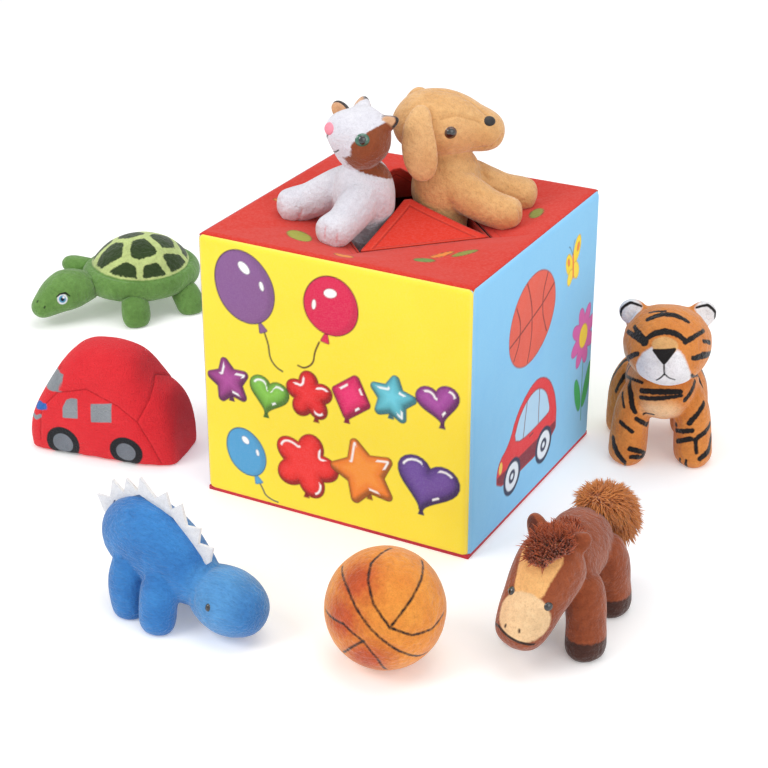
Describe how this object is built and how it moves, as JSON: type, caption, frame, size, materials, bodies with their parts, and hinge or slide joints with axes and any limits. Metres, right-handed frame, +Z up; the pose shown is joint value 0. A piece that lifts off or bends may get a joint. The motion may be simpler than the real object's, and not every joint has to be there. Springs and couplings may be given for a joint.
{
  "type": "surprise box toy",
  "caption": "Soft fabric surprise box with a slit top, each side in another colour, and stuffed toys: cat, dog, tiger, horse, dinosaur, turtle, car and ball.",
  "frame": {"origin": "centre of the box's underside", "axes": "+Z up; the yellow front with the printed balloons faces -Y, the blue side faces +X"},
  "size_m": [0.6065, 0.4708, 0.2677],
  "materials": {
    "yellow_fabric": "printed woven polyester",
    "blue_fabric": "printed woven polyester",
    "green_fabric": "woven polyester",
    "purple_fabric": "woven polyester",
    "red_fabric": "woven polyester",
    "flap_fabric": "doubled and hemmed woven polyester",
    "base_fabric": "woven polyester",
    "foam": "open-cell foam",
    "base_foam": "open-cell foam",
    "lining_fabric": "plain woven lining",
    "white_plush": "short plush",
    "golden_plush": "short plush",
    "cat_sound_case": "moulded",
    "cat_sound_button": "moulded",
    "dog_sound_case": "moulded",
    "dog_sound_button": "moulded",
    "tiger_plush": "short plush",
    "horse_plush": "short plush",
    "horse_tail_fur": "long fur",
    "dinosaur_plush": "napped plush",
    "white_felt": "felt",
    "shell_plush": "printed plush",
    "turtle_plush": "short plush",
    "red_knit": "fine knit",
    "ball_plush": "short plush"
  },
  "bodies": {
    "root": {"back_foam": "foam", "back_panel": "green_fabric", "base_foam": "base_foam", "base_panel": "base_fabric", "front_foam": "foam", "front_panel": "yellow_fabric", "left_foam": "foam", "left_panel": "purple_fabric", "lining": "lining_fabric", "right_foam": "foam", "right_panel": "blue_fabric", "top_panel": "red_fabric"},
    "near_flap": {"near_flap": "flap_fabric"},
    "far_flap": {"far_flap": "flap_fabric"},
    "cat_flap": {"cat_flap": "flap_fabric"},
    "dog_flap": {"dog_flap": "flap_fabric"},
    "ball": {"ball": "ball_plush"},
    "car": {"car_body": "red_knit"},
    "cat": {"cat_body": "white_plush", "cat_front_leg_left": "white_plush", "cat_front_leg_right": "white_plush", "cat_head": "white_plush", "cat_hind_legs": "white_plush", "cat_sound_case": "cat_sound_case"},
    "cat_button": {"cat_sound_button": "cat_sound_button"},
    "dinosaur": {"dinosaur_body": "dinosaur_plush", "dinosaur_crest": "white_felt", "dinosaur_front_leg_left": "dinosaur_plush", "dinosaur_front_leg_right": "dinosaur_plush", "dinosaur_head": "dinosaur_plush", "dinosaur_hind_leg_left": "dinosaur_plush", "dinosaur_hind_leg_right": "dinosaur_plush"},
    "dog": {"dog_body": "golden_plush", "dog_ear_left": "golden_plush", "dog_ear_right": "golden_plush", "dog_front_leg_left": "golden_plush", "dog_front_leg_right": "golden_plush", "dog_head": "golden_plush", "dog_hind_legs": "golden_plush", "dog_sound_case": "dog_sound_case"},
    "dog_button": {"dog_sound_button": "dog_sound_button"},
    "horse": {"horse_body": "horse_plush", "horse_front_leg_left": "horse_plush", "horse_front_leg_right": "horse_plush", "horse_head": "horse_plush", "horse_hind_leg_left": "horse_plush", "horse_hind_leg_right": "horse_plush", "horse_tail": "horse_tail_fur"},
    "tiger": {"tiger_body": "tiger_plush", "tiger_front_leg_left": "tiger_plush", "tiger_front_leg_right": "tiger_plush", "tiger_head": "tiger_plush", "tiger_hind_leg_left": "tiger_plush", "tiger_hind_leg_right": "tiger_plush"},
    "turtle": {"turtle_front_leg_left": "turtle_plush", "turtle_front_leg_right": "turtle_plush", "turtle_head": "turtle_plush", "turtle_hind_leg_left": "turtle_plush", "turtle_hind_leg_right": "turtle_plush", "turtle_shell": "shell_plush"}
  },
  "joints": [
    {"name": "near_flap_hinge", "type": "hinge", "parent": "root", "child": "near_flap", "pos_m": [0.03151, -0.03151, 0.181], "axis": [0.7071, 0.7071, 0], "range_deg": [-115, 85]},
    {"name": "far_flap_hinge", "type": "hinge", "parent": "root", "child": "far_flap", "pos_m": [-0.03151, 0.03151, 0.181], "axis": [-0.7071, -0.7071, 0], "range_deg": [-140, 60]},
    {"name": "cat_flap_hinge", "type": "hinge", "parent": "root", "child": "cat_flap", "pos_m": [-0.03151, -0.03151, 0.181], "axis": [0.7071, -0.7071, 0], "range_deg": [-23, 0]},
    {"name": "dog_flap_hinge", "type": "hinge", "parent": "root", "child": "dog_flap", "pos_m": [0.03151, 0.03151, 0.181], "axis": [-0.7071, 0.7071, 0], "range_deg": [-23, 0]},
    {"name": "cat_lift", "type": "slide", "parent": "root", "child": "cat", "axis": [0, 0, 1], "range_m": [0, 0.15]},
    {"name": "dog_lift", "type": "slide", "parent": "root", "child": "dog", "axis": [0, 0, 1], "range_m": [0, 0.15]},
    {"name": "tiger_lift", "type": "slide", "parent": "root", "child": "tiger", "axis": [0, 0, 1], "range_m": [0, 0.2]},
    {"name": "horse_lift", "type": "slide", "parent": "root", "child": "horse", "axis": [0, 0, 1], "range_m": [0, 0.2]},
    {"name": "dinosaur_lift", "type": "slide", "parent": "root", "child": "dinosaur", "axis": [0, 0, 1], "range_m": [0, 0.2]},
    {"name": "turtle_lift", "type": "slide", "parent": "root", "child": "turtle", "axis": [0, 0, 1], "range_m": [0, 0.2]},
    {"name": "car_lift", "type": "slide", "parent": "root", "child": "car", "axis": [0, 0, 1], "range_m": [0, 0.2]},
    {"name": "ball_lift", "type": "slide", "parent": "root", "child": "ball", "axis": [0, 0, 1], "range_m": [0, 0.2]},
    {"name": "cat_button_press", "type": "slide", "parent": "cat", "child": "cat_button", "axis": [-0.6691, -0.7431, 0], "range_m": [0, 0.0012], "stiffness_N_per_m": 150},
    {"name": "dog_button_press", "type": "slide", "parent": "dog", "child": "dog_button", "axis": [0.8829, 0.4695, 0], "range_m": [0, 0.0012], "stiffness_N_per_m": 150}
  ]
}
